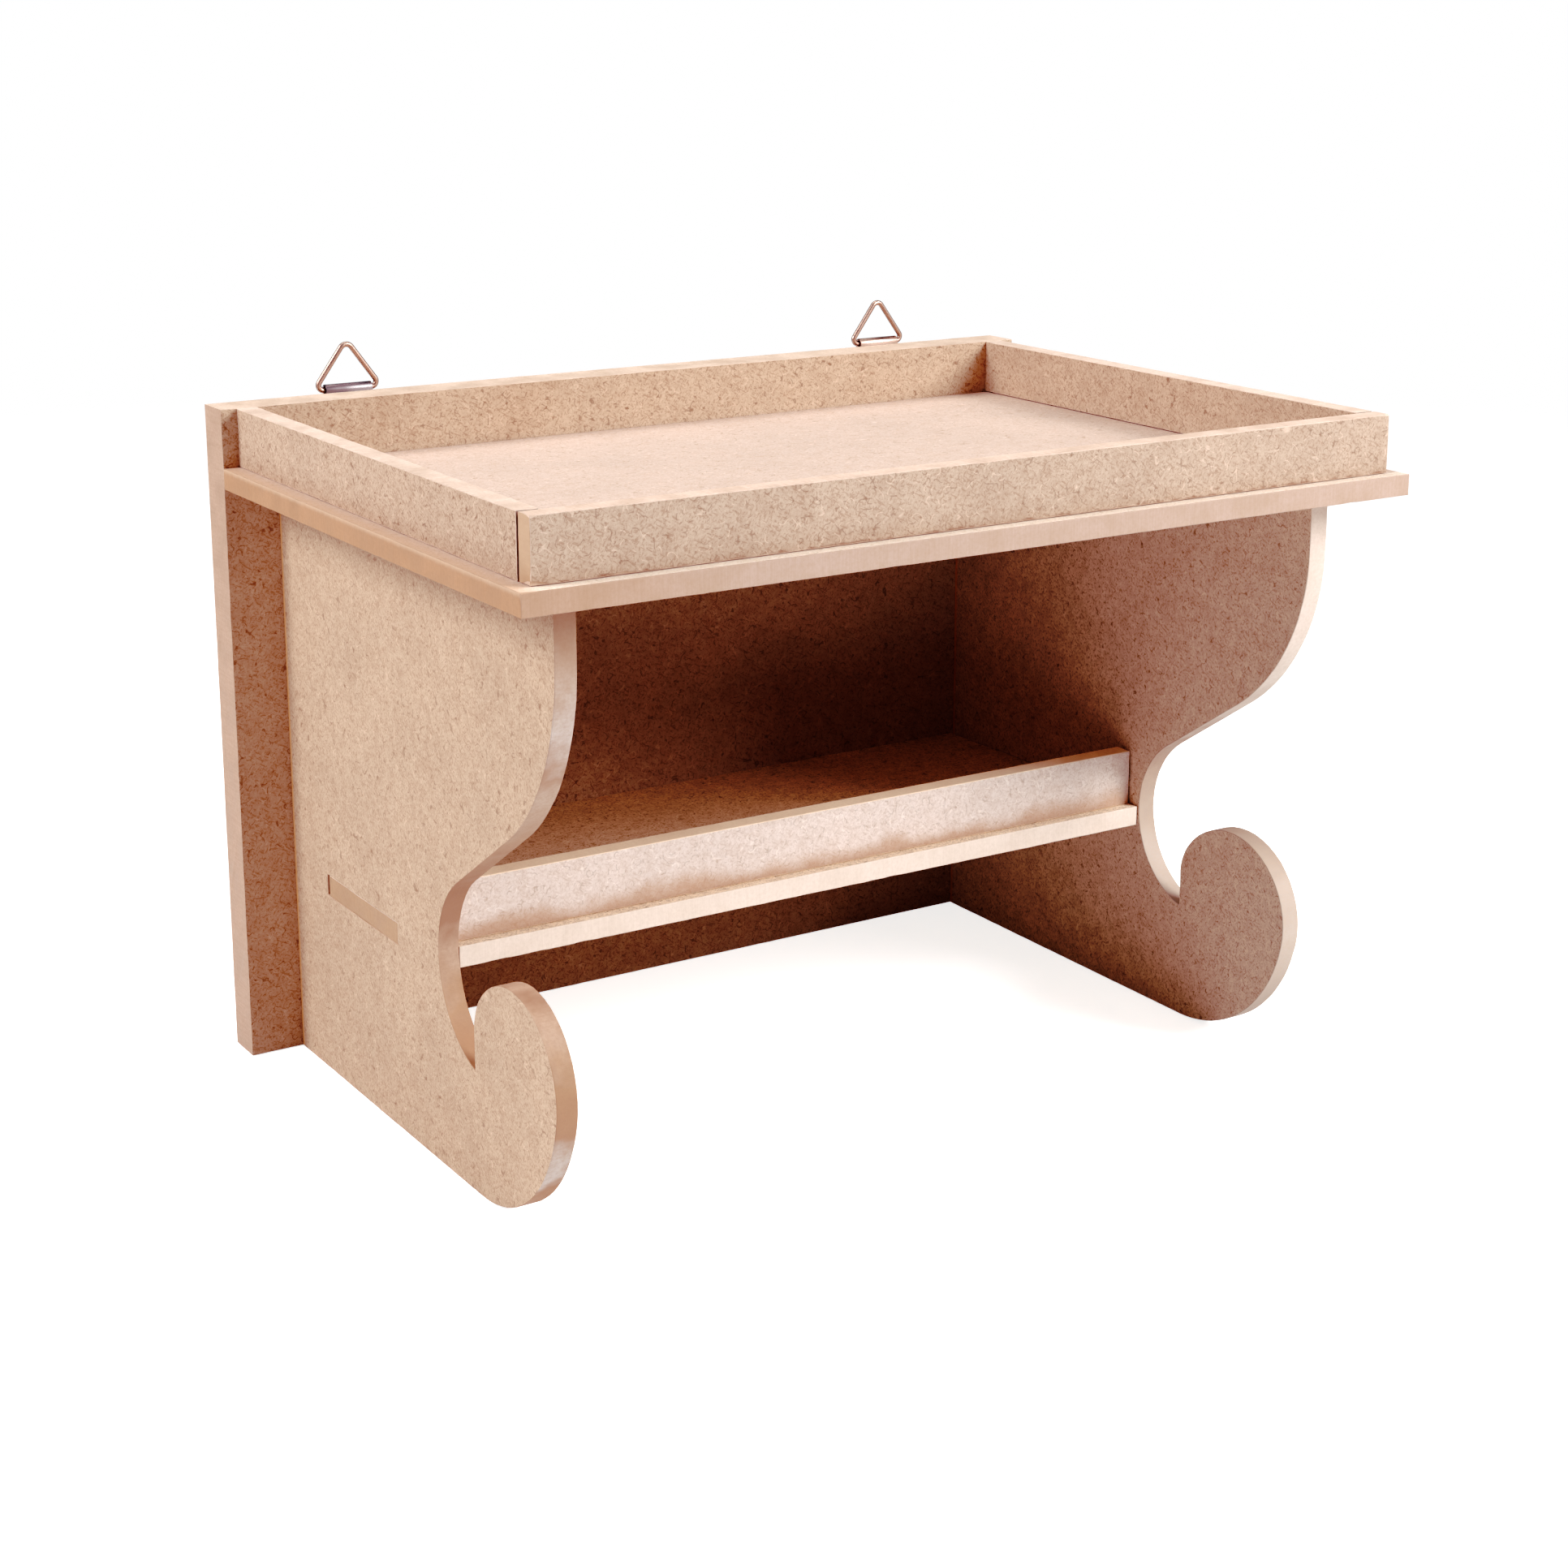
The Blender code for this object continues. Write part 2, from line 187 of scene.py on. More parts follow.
def curls(tree, where, pitch, thin, sparse, shift):
    """Curled fibres: thin level lines of one noise, broken up by a second one."""
    moved = node(tree, "Mapping", {"Vector": where, "Location": (shift, -shift, shift)}).outputs[0]
    swirl = node(tree, "TexNoise", {"Vector": moved, "Scale": pitch, "Detail": 0.0}).outputs[0]
    off_line = node(tree, "Math", {0: swirl, 1: 0.5}, operation="SUBTRACT").outputs[0]
    off_line = node(tree, "Math", {0: off_line}, operation="ABSOLUTE").outputs[0]
    on_line = node(
        tree, "MapRange", {"Value": off_line, "From Max": thin, "To Min": 1.0, "To Max": 0.0}
    ).outputs[0]
    breaks = node(tree, "TexNoise", {"Vector": moved, "Scale": pitch * 1.37, "Detail": 0.0})
    kept = node(
        tree,
        "MapRange",
        {"Value": breaks.outputs[0], "From Min": sparse, "From Max": sparse + 0.05},
    ).outputs[0]
    return node(tree, "Math", {0: on_line, 1: kept}, operation="MULTIPLY").outputs[0]


def tinted(tree, below, colour, amount, mode="MIX"):
    """One colour laid over another by an amount, both plain values or outputs."""
    mixed = node(tree, "Mix", data_type="RGBA", blend_type=mode)
    for place, value in ((0, amount), (6, below), (7, colour)):
        if isinstance(value, bpy.types.NodeSocket):
            tree.links.new(value, mixed.inputs[place])
        else:
            mixed.inputs[place].default_value = value
    return mixed.outputs[2]


def scaled(tree, amount, by):
    return node(tree, "Math", {0: amount, 1: by}, operation="MULTIPLY").outputs[0]


def pressed_face(name, colour, dark, offset=0.0, fleck=0.5, pale_fleck=0.35):
    """MDF straight from the press: cloudy tan with short fibres lying every way."""
    material = bpy.data.materials.new(name)
    material.use_nodes = True
    tree = material.node_tree
    shader = tree.nodes["Principled BSDF"]
    where = node(
        tree,
        "Mapping",
        {"Vector": node(tree, "TexCoord").outputs["Object"], "Location": (offset,) * 3},
    ).outputs[0]
    cloud = node(tree, "TexNoise", {"Vector": where, "Scale": 45.0, "Detail": 4.0})
    cloud_amount = node(
        tree, "MapRange", {"Value": cloud.outputs[0], "From Min": 0.35, "From Max": 0.68}
    ).outputs[0]
    mottle = node(tree, "TexNoise", {"Vector": where, "Scale": 330.0, "Detail": 3.0})
    mottle_amount = node(
        tree, "MapRange",
        {"Value": mottle.outputs[0], "From Min": 0.42, "From Max": 0.7, "To Max": 0.2},
    ).outputs[0]
    speck = node(
        tree, "TexNoise", {"Vector": where, "Scale": 1500.0, "Detail": 3.0, "Roughness": 0.7}
    ).outputs[0]
    speck_amount = node(
        tree, "MapRange", {"Value": speck, "From Min": 0.4, "From Max": 0.68, "To Max": 0.3}
    ).outputs[0]
    base = tinted(tree, (*colour, 1), (*[c * 0.92 for c in colour], 1), cloud_amount)
    base = tinted(tree, base, (*dark, 1), mottle_amount)
    base = tinted(tree, base, (*dark, 1), speck_amount)
    short_hairs = None
    for turn in ((0.3, 0.5, 0.2), (0.4, -0.6, 1.3), (1.1, 0.9, 2.4)):
        hair = fibres(tree, where, turn, 2300.0, 0.615)
        if short_hairs is None:
            short_hairs = hair
        else:
            short_hairs = node(
                tree, "Math", {0: short_hairs, 1: hair}, operation="MAXIMUM"
            ).outputs[0]
    base = tinted(tree, base, (*dark, 1), scaled(tree, short_hairs, fleck * 0.9))
    dark_curls = curls(tree, where, 470.0, 0.045, 0.58, 0.4)
    base = tinted(
        tree, base, (*[c * 0.75 for c in dark], 1), scaled(tree, dark_curls, min(1.0, fleck * 1.3))
    )
    pale_curls = curls(tree, where, 360.0, 0.032, 0.57, 1.7)
    pale = [min(1.0, c * 1.3 + 0.06) for c in colour]
    base = tinted(tree, base, (*pale, 1), scaled(tree, pale_curls, pale_fleck))
    tree.links.new(base, shader.inputs["Base Color"])
    rough = node(
        tree,
        "MapRange",
        {"Value": speck, "From Min": 0.3, "From Max": 0.7, "To Min": 0.7, "To Max": 0.88},
    )
    tree.links.new(rough.outputs[0], shader.inputs["Roughness"])
    shader.inputs["Specular IOR Level"].default_value = 0.2
    height = node(tree, "Math", {0: speck, 1: pale_curls}, operation="ADD")
    bump = node(
        tree, "Bump", {"Height": height.outputs[0], "Strength": 0.18, "Distance": 0.0001}
    )
    tree.links.new(bump.outputs[0], shader.inputs["Normal"])
    return material


def band(material, axis, full, none, colour, amount, wander=0.003, pitch=70.0, mode="MIX"):
    """A tint over a finish: full at one place on an axis, gone at another, its edge wavering."""
    tree = material.node_tree
    base_color = tree.nodes["Principled BSDF"].inputs["Base Color"]
    where = node(tree, "TexCoord").outputs["Object"]
    wave = node(tree, "TexNoise", {"Vector": where, "Scale": pitch, "Detail": 4.0}).outputs[0]
    place = node(tree, "SeparateXYZ", {0: where}).outputs[axis]
    place = node(
        tree, "Math", {0: wave, 1: wander, 2: place}, operation="MULTIPLY_ADD"
    ).outputs[0]
    strength = node(
        tree, "MapRange",
        {"Value": place, "From Min": none + wander / 2, "From Max": full + wander / 2,
         "To Max": amount},
        interpolation_type="SMOOTHSTEP",
    ).outputs[0]
    tint = tinted(tree, base_color.links[0].from_socket, (*colour, 1), strength, mode)
    tree.links.new(tint, base_color)


def sawn_edge(name, colour, dark, across, patch=0.3, marks=0.24, burn_marks_and_painted_light=()):
    """A cut edge: paler and denser, with fine saw marks that run across the board's thickness.

    Its last argument is (height, colour) pairs for an edge whose colour changes on its way up;
    brown pairs give burn marks, and pale pairs can give painted highlights and painted light."""
    material = bpy.data.materials.new(name)
    material.use_nodes = True
    tree = material.node_tree
    shader = tree.nodes["Principled BSDF"]
    where = node(tree, "TexCoord").outputs["Object"]
    along = [1.0, 1.0, 1.0]
    along[across] = 0.05
    drawn = node(tree, "Mapping", {"Vector": where, "Scale": along}).outputs[0]
    saw = node(
        tree, "TexNoise", {"Vector": drawn, "Scale": 2600.0, "Detail": 3.0, "Roughness": 0.6}
    )
    saw_amount = node(
        tree, "MapRange",
        {"Value": saw.outputs[0], "From Min": 0.36, "From Max": 0.66, "To Max": marks},
    )
    patches = node(tree, "TexNoise", {"Vector": where, "Scale": 140.0, "Detail": 4.0})
    patch_amount = node(
        tree, "MapRange",
        {"Value": patches.outputs[0], "From Min": 0.42, "From Max": 0.66, "To Max": patch},
    )
    grain = node(
        tree, "TexNoise", {"Vector": where, "Scale": 1300.0, "Detail": 3.0, "Roughness": 0.7}
    )
    grain_amount = node(
        tree, "MapRange",
        {"Value": grain.outputs[0], "From Min": 0.4, "From Max": 0.68, "To Max": 0.3},
    )
    plain = (*colour, 1)
    if burn_marks_and_painted_light:
        sway = 0.02  # how far the colours wander up and down
        covered = 0.145  # the height that they cover
        wander = node(tree, "TexNoise", {"Vector": where, "Scale": 160.0, "Detail": 2.0})
        height = node(tree, "SeparateXYZ", {0: where}).outputs[2]
        height = node(
            tree, "Math", {0: wander.outputs[0], 1: sway, 2: height}, operation="MULTIPLY_ADD"
        ).outputs[0]
        up = node(
            tree, "MapRange",
            {"Value": height, "From Min": sway / 2, "From Max": sway / 2 + covered},
        )
        ramp = node(tree, "ValToRGB", {"Fac": up.outputs[0]})
        stops = ramp.color_ramp.elements
        while len(stops) < len(burn_marks_and_painted_light):
            stops.new(0.5)
        for stop, (level, tone) in zip(stops, burn_marks_and_painted_light):
            stop.position = level / covered
            stop.color = (*tone, 1)
        plain = ramp.outputs[0]
    base = tinted(tree, plain, (*dark, 1), patch_amount.outputs[0])
    base = tinted(tree, base, (*dark, 1), saw_amount.outputs[0])
    base = tinted(tree, base, (*dark, 1), grain_amount.outputs[0])
    tree.links.new(base, shader.inputs["Base Color"])
    rough = node(
        tree, "MapRange",
        {"Value": patches.outputs[0], "From Min": 0.35, "From Max": 0.65,
         "To Min": 0.72, "To Max": 0.48},
    )
    tree.links.new(rough.outputs[0], shader.inputs["Roughness"])
    shader.inputs["Specular IOR Level"].default_value = 0.3
    height = node(tree, "Math", {0: saw.outputs[0], 1: grain.outputs[0]}, operation="ADD")
    bump = node(tree, "Bump", {"Height": height.outputs[0], "Strength": 0.3, "Distance": 0.0001})
    tree.links.new(bump.outputs[0], shader.inputs["Normal"])
    return material


TAN_DARK = (0.27, 0.14, 0.075)
CREAM_DARK = (0.45, 0.27, 0.16)
EASED = 0.00016  # what a rub of sandpaper takes off each arris
RAGGED = 0.00005  # how far the eased arrises wander
noise.seed_set(7)  # unseeded, noise_vector starts from the clock and no two runs agree
FINE_PITCH = 700
COARSE_PITCH = 230
ARRIS_ANGLE = math.radians(40)
CREASE_ANGLE = math.radians(15)
ARRIS_STEP = 0.0016  # spacing of the points along a long arris
LONG_EDGE = 0.003  # shorter ones belong to curves
BROAD_FACE = 2e-5  # square metres; smaller faces belong to the arrises
SQUARE_ON = 0.95  # a normal this much along an axis faces along it
END_ON = 0.7
TOUCHING = 1e-5


def eased_board(node_name, across, face, edge, end=None, seats=(), fits=(), chips=()):
    """The CAD board with its arrises eased and a little ragged.

    across is the axis of its thickness; end is the finish of the edges that face left and
    right, if it isn't that of the others. seats are (axis, sign, distance) moves of an end face
    onto the board it is glued to; fits are (low corner, high corner, shift) moves of what lies
    in a box; chips are (point, radius, depth) knocks on an arris."""
    board = bmesh.new()
    board.from_mesh(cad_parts[node_name].data)
    bmesh.ops.remove_doubles(board, verts=board.verts, dist=1e-6)
    bmesh.ops.dissolve_limit(
        board, angle_limit=math.radians(1), verts=board.verts, edges=board.edges
    )
    low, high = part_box(node_name)
    for axis, sign, distance in seats:
        limit = high[axis] if sign > 0 else low[axis]
        for vert in board.verts:
            if abs(vert.co[axis] - limit) < TOUCHING:
                vert.co[axis] += sign * distance
    for corner, opposite, shift in fits:
        for vert in board.verts:
            if all(corner[i] < vert.co[i] < opposite[i] for i in range(3)):
                vert.co += Vector(shift)
    for long_edge in [e for e in board.edges if e.calc_length() > LONG_EDGE]:
        cuts = int(long_edge.calc_length() / ARRIS_STEP)
        bmesh.ops.subdivide_edges(board, edges=[long_edge], cuts=cuts)
    sharp = [e for e in board.edges if e.calc_face_angle(0.0) > ARRIS_ANGLE]
    bmesh.ops.bevel(
        board, geom=sharp, offset=EASED, offset_type="OFFSET", segments=2, profile=0.5,
        affect="EDGES", material=-1, clamp_overlap=True,
    )
    board.normal_update()
    broad = {f for f in board.faces if f.calc_area() > BROAD_FACE}
    middle = (low + high) / 2
    longest = max(range(3), key=lambda i: (high - low)[i])
    for vert in board.verts:
        beside = [f for f in vert.link_faces if f in broad]
        if len(vert.link_faces) < 3 or not (beside or len(vert.link_edges) > 3):
            continue
        fine = noise.noise_vector(vert.co * FINE_PITCH)
        coarse = noise.noise_vector(vert.co * COARSE_PITCH)
        shove = (fine + coarse) * RAGGED
        for point, radius, depth in chips:
            near = (vert.co - Vector(point)).length / radius
            if near < 1:
                inward = middle - vert.co
                inward[longest] = 0.0
                shove += inward.normalized() * depth * (1 - near * near)
        for f in beside:
            shove -= f.normal * shove.dot(f.normal)
        vert.co += shove
    for f in board.faces:
        f.material_index = 0 if abs(f.normal[across]) > SQUARE_ON else 1
        if end and across != X and abs(f.normal[X]) > END_ON:
            f.material_index = 2
        f.smooth = True
    mesh = bpy.data.meshes.new(node_name + "_board")
    board.to_mesh(mesh)
    board.free()
    mesh.set_sharp_from_angle(angle=CREASE_ANGLE)
    for finish in (face, edge, end or edge):
        mesh.materials.append(finish)
    piece = bpy.data.objects.new(node_name + "_board", mesh)
    bpy.context.scene.collection.objects.link(piece)
    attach(piece, "shelf")
    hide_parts(node_name)
    return piece


panel_face = pressed_face("panel_pressed_face", (0.55, 0.38, 0.26), TAN_DARK, 0.1, 0.6)
panel_edge = sawn_edge("panel_sawn_edge", (0.74, 0.57, 0.44), CREAM_DARK, Y)
panel_end = sawn_edge("panel_sawn_end", (0.50, 0.33, 0.235), (0.33, 0.2, 0.12), Y)
panel_rear = pressed_face("panel_rear_pressed_face", (0.56, 0.385, 0.265), TAN_DARK, 0.2, 0.6)
tray_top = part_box("top_shelf")[1].z
# Painted light: paler where it stands above the tray.
band(panel_face, Z, tray_top, tray_top - 0.001, (1.12, 1.18, 1.22), 1.0, 0.0, mode="MULTIPLY")
panel = eased_board("back_panel", Y, panel_face, panel_edge, panel_end)
panel.data.materials.append(panel_rear)
for facet in panel.data.polygons:
    if facet.normal.y > SQUARE_ON:
        facet.material_index = 3

# Scroll brackets: two 5 mm MDF profiles cut on a scroll saw, glued on edge to the panel and
# under the tray. The cutter burnished their edges brown in places, and sanding left them pale;
# some pale patches on their edges are painted highlights.
TAN = (0.57, 0.405, 0.28)
CREAM = (0.72, 0.54, 0.41)
shelf_low, shelf_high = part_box("lower_shelf")
tenon = [
    v.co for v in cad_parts["lower_shelf"].data.vertices if v.co.x > shelf_high.x - TOUCHING
]
tenon_front = min(c.y for c in tenon)
tenon_rear = max(c.y for c in tenon)
AROUND = 0.001  # further out than the mortise's walls stand from the tenon
SNUG = 0.00024  # taken up between tenon and mortise by the glue
CUT_LONG = 0.0009  # the mortise runs on behind the tenon
GLUE_LINE = 0.00025  # closed up where one board is glued to the next
mortise = (  # walls above, below, in front of and behind the tenon, at every X from -1 to 1
    ((-1, tenon_front - AROUND, shelf_high.z), (1, tenon_rear + AROUND, shelf_high.z + AROUND),
     (0, 0, -SNUG)),
    ((-1, tenon_front - AROUND, shelf_low.z - AROUND), (1, tenon_rear + AROUND, shelf_low.z),
     (0, 0, SNUG)),
    ((-1, tenon_front - AROUND, shelf_low.z - AROUND),
     (1, tenon_front, shelf_high.z + AROUND), (0, SNUG, 0)),
    ((-1, tenon_rear, shelf_low.z - AROUND),
     (1, tenon_rear + AROUND, shelf_high.z + AROUND), (0, CUT_LONG, 0)),
)
bracket_face = pressed_face("bracket_pressed_face", TAN, TAN_DARK, 0.31)
# Painted light: the right bracket's face is a paler copy of the left bracket's face.
right_face_painted_light = pressed_face("right_bracket_pressed_face_painted_light", (0.78, 0.59, 0.445), TAN_DARK, 0.47)
bracket_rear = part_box("left_bracket")[1].y
for face in (bracket_face, right_face_painted_light):
    # A line of squeezed-out glue along the panel.
    band(face, Y, bracket_rear, bracket_rear - 0.0015, (0.72, 0.38, 0.17), 0.9, 0.0006, 300.0)
# Brown stops up the left edge are burn marks; the pale stops at 18 mm and 116 mm are painted
# highlights.
left_edge = sawn_edge(
    "left_bracket_sawn_edge", CREAM, (0.33, 0.18, 0.10), X, 0.3, 0.1, burn_marks_and_painted_light=(
        (0.0, (0.40, 0.22, 0.12)), (0.012, (0.36, 0.19, 0.10)), (0.018, (0.56, 0.47, 0.41)),
        (0.023, (0.48, 0.37, 0.30)), (0.028, (0.37, 0.20, 0.11)), (0.040, (0.42, 0.24, 0.13)),
        (0.050, (0.54, 0.36, 0.25)), (0.058, (0.34, 0.19, 0.115)), (0.070, (0.36, 0.20, 0.12)),
        (0.088, (0.44, 0.28, 0.18)), (0.099, (0.50, 0.36, 0.27)), (0.106, (0.38, 0.23, 0.15)),
        (0.116, (0.60, 0.50, 0.44)), (0.124, (0.48, 0.35, 0.27)), (0.136, (0.40, 0.25, 0.16)),
    )
)
# The right bracket's edge is much paler than the left one's, partly its own colour and partly
# painted light.
right_edge_partly_painted_light = sawn_edge(
    "right_bracket_sawn_edge_partly_painted_light", CREAM, (0.52, 0.36, 0.25), X, 0.25, 0.1, burn_marks_and_painted_light=(
        (0.0, (0.46, 0.34, 0.26)), (0.030, (0.55, 0.44, 0.36)), (0.050, (0.46, 0.34, 0.26)),
        (0.070, (0.38, 0.24, 0.17)), (0.095, (0.68, 0.56, 0.47)), (0.140, (0.74, 0.60, 0.50)),
    )
)
for side, face, edge in (("left", bracket_face, left_edge), ("right", right_face_painted_light, right_edge_partly_painted_light)):
    eased_board(side + "_bracket", X, face, edge,
                seats=((Z, 1, GLUE_LINE), (Y, 1, GLUE_LINE)), fits=mortise)

# Tray floor: the upper shelf, a 5 mm board glued on top of the brackets and against the panel.
# Its top was sanded pale; its sawn edges show fine upright blade marks.
floor_face = pressed_face("tray_floor_pressed_face", (0.65, 0.50, 0.41), CREAM_DARK, 0.53, 0.4)
floor_edge = sawn_edge("tray_floor_sawn_edge", (0.51, 0.35, 0.27), (0.40, 0.25, 0.15), Z)
floor_end = sawn_edge("tray_floor_sawn_end", (0.46, 0.255, 0.14), (0.33, 0.18, 0.09), Z)
floor_low, floor_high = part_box("top_shelf")
# Painted shade: browner towards the left end of the front edge. The end is paler along its upper
# arris.
band(floor_edge, X, floor_low.x, floor_low.x + 0.06, (0.97, 0.88, 0.77), 1.0, 0.01, 90.0,
     mode="MULTIPLY")
band(floor_end, Z, floor_high.z, floor_high.z - 0.0013, (0.66, 0.47, 0.33), 0.5, 0.0008, 500.0)
# Painted light: a pale ledge in front of the rail. A tan one at the left.
band(floor_face, Y, floor_low.y + 0.0032, floor_low.y + 0.0045, (1.36, 1.52, 1.54), 1.0, 0.001,
     mode="MULTIPLY")
band(floor_face, X, floor_low.x, floor_low.x + 0.006, (0.58, 0.36, 0.22), 0.7, 0.001)
eased_board("top_shelf", Z, floor_face, floor_edge, floor_end, seats=((Y, 1, GLUE_LINE),), chips=(
    ((floor_low.x, floor_low.y, floor_high.z), 0.0022, 0.0006),
    ((floor_low.x, 0.055, floor_high.z), 0.0016, 0.0005),
    ((-0.03, floor_low.y, floor_low.z), 0.0014, 0.0004),
    ((0.098, floor_low.y, floor_low.z), 0.0018, 0.0004),
))

# Tray rails: three 5 mm strips on edge, glued round the tray floor a little inside its edge.
# The front one runs full width, and the side ones butt against it and the panel.
rail_face = pressed_face("rail_pressed_face", (0.57, 0.415, 0.305), TAN_DARK, 0.77, 0.5, 0.5)
side_rail_face = pressed_face("side_rail_pressed_face", (0.59, 0.42, 0.30), TAN_DARK, 1.37, 0.6)
side_rail_edge = sawn_edge("side_rail_sawn_edge", (0.78, 0.61, 0.49), CREAM_DARK, X)
front_rail_edge = sawn_edge("front_rail_sawn_edge", (0.74, 0.56, 0.44), CREAM_DARK, Y)
front_rail_end = sawn_edge("front_rail_sawn_end", (0.53, 0.345, 0.215), CREAM_DARK, Y)
rail_low, rail_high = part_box("tray_front_rail")
# A dark and broken seam along the front rail's foot.
band(rail_face, Z, rail_low.z - 0.0003, rail_low.z + 0.0005, (0.22, 0.10, 0.05), 0.7, 0.0026, 420.0)
OPEN_BUTT = 0.0005  # how much wider than in CAD the joint behind the front rail stands open
FRONT_PRESSED = 0.00014  # down onto the tray floor
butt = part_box("tray_left_rail")[0].y + OPEN_BUTT
# Painted shade: the side rail's sawn end darkened inside the open joint.
band(side_rail_edge, Y, butt - 0.00005, butt + 0.0001, (0.10, 0.045, 0.025), 1.0, 0.0)
for side, pressed in (("left", 0.00018), ("right", 0.00006)):  # down onto the tray floor
    eased_board(f"tray_{side}_rail", X, side_rail_face, side_rail_edge,
                seats=((Z, -1, pressed), (Y, 1, GLUE_LINE), (Y, -1, -OPEN_BUTT)))
eased_board("tray_front_rail", Y, rail_face, front_rail_edge, front_rail_end,
            seats=((Z, -1, FRONT_PRESSED),), chips=(
    ((rail_low.x, rail_low.y, rail_low.z), 0.0035, 0.0009),
    ((rail_low.x, rail_low.y, rail_high.z), 0.0014, 0.0005),
    ((rail_low.x + 0.02, rail_low.y, rail_low.z), 0.002, 0.0005),
    ((rail_high.x, rail_low.y, rail_high.z), 0.0012, 0.0004),
))

# Lower shelf: one board with a tenon at each end, pushed through the brackets' mortises and
# glued; the tenons finish level with the brackets' outer faces.
lip_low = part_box("lower_lip")[0]
shelf_face = pressed_face("lower_shelf_pressed_face", (0.82, 0.60, 0.40), TAN_DARK, 0.91)
# Painted light: a paler ledge in front of the lip.
band(shelf_face, Y, lip_low.y - 0.0012, lip_low.y + 0.0004, (1.1, 1.2, 1.35), 1.0, 0.0016, 160.0,
     mode="MULTIPLY")
shelf_edge = sawn_edge("lower_shelf_sawn_edge", (0.80, 0.66, 0.55), (0.6, 0.45, 0.33), Z, 0.2, 0.16)
tenon_end = sawn_edge("tenon_sawn_end", (0.45, 0.28, 0.165), (0.32, 0.18, 0.10), Z)
eased_board("lower_shelf", Z, shelf_face, shelf_edge, tenon_end, seats=((Y, 1, GLUE_LINE),), chips=(
    ((-0.088, shelf_low.y, shelf_low.z), 0.0026, 0.0008),
    ((-0.078, shelf_low.y, shelf_low.z), 0.0018, 0.0006),
    ((-0.066, shelf_low.y, shelf_low.z), 0.0022, 0.0005),
    ((0.02, shelf_low.y, shelf_low.z), 0.0014, 0.0004),
))

# Lip: a 5 mm strip glued on edge along the lower shelf, just behind its front edge, so that
# pots don't slide off. It stops short of both brackets. Its foot is darker brown, partly sanding
# dust and partly painted shade.
lip_face = pressed_face("lip_pressed_face", (0.78, 0.65, 0.57), (0.46, 0.28, 0.18), 1.13, 0.35)
# Partly painted shade: darker brown along the lip's foot.
band(lip_face, Z, lip_low.z, lip_low.z + 0.0055, (0.44, 0.24, 0.13), 0.7, 0.009, 100.0)
# Painted light: the lip's sawn top is coloured paler to make up for the tray's shade over it.
lip_edge_painted_light = sawn_edge("lip_sawn_edge_painted_light", (0.98, 0.77, 0.56), (0.74, 0.50, 0.33), Y, 0.2, 0.14)
LIP_PRESSED = 0.00022  # down onto the lower shelf
eased_board("lower_lip", Y, lip_face, lip_edge_painted_light, seats=((Z, -1, LIP_PRESSED),))

# Hanger straps: strips of thin plated steel, each folded double round its ring's foot, with two
# round-ended leaves flat on the rear of the panel under one screw. The left one is darker.
def plated(name, colour, roughness, stain):
    """Bright plate over steel: its tint wanders, with a dull stain and fine drawing lines."""
    material = bpy.data.materials.new(name)
    material.use_nodes = True
    tree = material.node_tree
    shader = tree.nodes["Principled BSDF"]
    shader.inputs["Metallic"].default_value = 1.0
    where = node(tree, "TexCoord").outputs["Object"]
    cloud = node(tree, "TexNoise", {"Vector": where, "Scale": 140.0, "Detail": 3.0})
    stained = node(
        tree, "MapRange",
        {"Value": cloud.outputs[0], "From Min": 0.42, "From Max": 0.7, "To Max": 0.6},
    )
    base = tinted(tree, (*colour, 1), (*stain, 1), stained.outputs[0])
    tree.links.new(base, shader.inputs["Base Color"])
    rough = node(
        tree, "MapRange",
        {"Value": cloud.outputs[0], "From Min": 0.3, "From Max": 0.7,
         "To Min": roughness, "To Max": roughness + 0.18},
    )
    tree.links.new(rough.outputs[0], shader.inputs["Roughness"])
    scratch = node(tree, "Mapping", {"Vector": where, "Scale": (0.1, 1, 1)})
    lines = node(tree, "TexNoise", {"Vector": scratch.outputs[0], "Scale": 6000.0, "Detail": 2.0})
    bump = node(tree, "Bump", {"Height": lines.outputs[0], "Strength": 0.05, "Distance": 0.00002})
    tree.links.new(bump.outputs[0], shader.inputs["Normal"])
    return material


def finished(name, shape, material, body, node_name, soft_angle=35):
    """The bmesh as a piece that rides on a body and stands for one CAD node."""
    bmesh.ops.recalc_face_normals(shape, faces=shape.faces)
    for f in shape.faces:
        f.smooth = True
    mesh = bpy.data.meshes.new(name)
    shape.to_mesh(mesh)
    shape.free()
    mesh.set_sharp_from_angle(angle=math.radians(soft_angle))
    mesh.materials.append(material)
    piece = bpy.data.objects.new(name, mesh)
    bpy.context.scene.collection.objects.link(piece)
    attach(piece, body)
    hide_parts(node_name)
    return piece


def pulled(shape, edges, shift, narrow=1.0, about=0.0):
    """Edges drawn out by a shift, and narrowed in X about a line; returns the new edges."""
    grown = bmesh.ops.extrude_edge_only(shape, edges=edges)["geom"]
    verts = [g for g in grown if isinstance(g, bmesh.types.BMVert)]
    bmesh.ops.translate(shape, vec=shift, verts=verts)
    for vert in verts:
        vert.co.x = about + (vert.co.x - about) * narrow
    return [g for g in grown if isinstance(g, bmesh.types.BMEdge)]


def spun(shape, edges, centre, axis, angle, steps):
    made = bmesh.ops.spin(
        shape, geom=edges, cent=centre, axis=axis, dvec=(0, 0, 0), angle=angle, steps=steps
    )
    return [g for g in made["geom_last"] if isinstance(g, bmesh.types.BMEdge)]


def leaf(shape, edges, drop, half, about):
    """One leaf below the fold: straight down to the screw, then a round end."""
    edges = pulled(shape, edges, (0, 0, -drop))
    steps = 10
    last_turn = math.radians(86)  # short of a right angle, so that the tip keeps a width
    width = 1.0
    for i in range(1, steps + 1):
        turn = last_turn * i / steps
        before = last_turn * (i - 1) / steps
        step = (0, 0, half * (math.sin(before) - math.sin(turn)))
        edges = pulled(shape, edges, step, math.cos(turn) / width, about)
        width = math.cos(turn)


